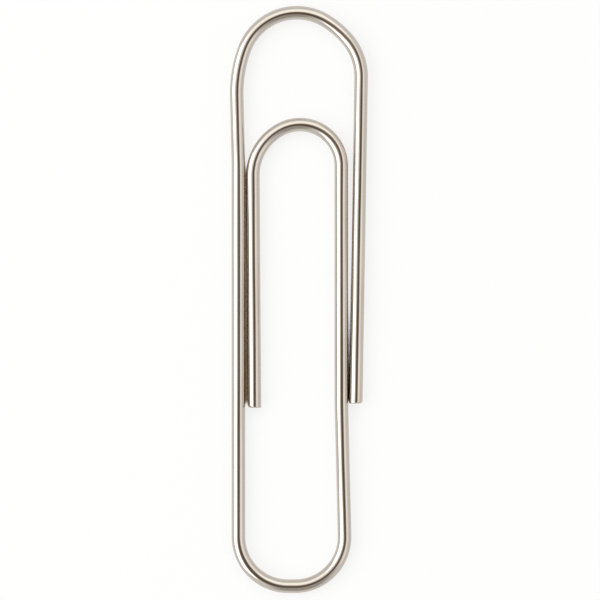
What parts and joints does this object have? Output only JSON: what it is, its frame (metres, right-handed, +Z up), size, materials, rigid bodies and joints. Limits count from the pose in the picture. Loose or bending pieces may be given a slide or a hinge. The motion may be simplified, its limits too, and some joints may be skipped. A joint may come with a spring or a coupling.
{
  "type": "paper clip",
  "caption": "Flat paper clip of bright nickel-plated round wire, bent into an outer and an inner loop that spring apart at the foot to grip a stack of paper.",
  "frame": {"origin": "middle of the clip's outline, on the surface that it lies on", "axes": "+X across the clip towards the outer leg's cut end, +Y along it from the foot to the crowns, +Z up from the surface"},
  "size_m": [0.0118, 0.05, 0.0012],
  "materials": {
    "nickel_wire": "bright nickel plating over drawn steel wire, slightly warm, with faint lengthwise draw lines"
  },
  "bodies": {
    "outer_loop": {"outer_loop": "nickel_wire"},
    "inner_loop": {"inner_loop": "nickel_wire"}
  },
  "joints": [
    {"name": "foot_twist", "type": "hinge", "parent": "outer_loop", "child": "inner_loop", "pos_m": [-0.00063, -0.02442, 0.00057], "axis": [1, 0, 0], "range_deg": [0, 12], "stiffness_Nm_per_rad": 0.487}
  ]
}
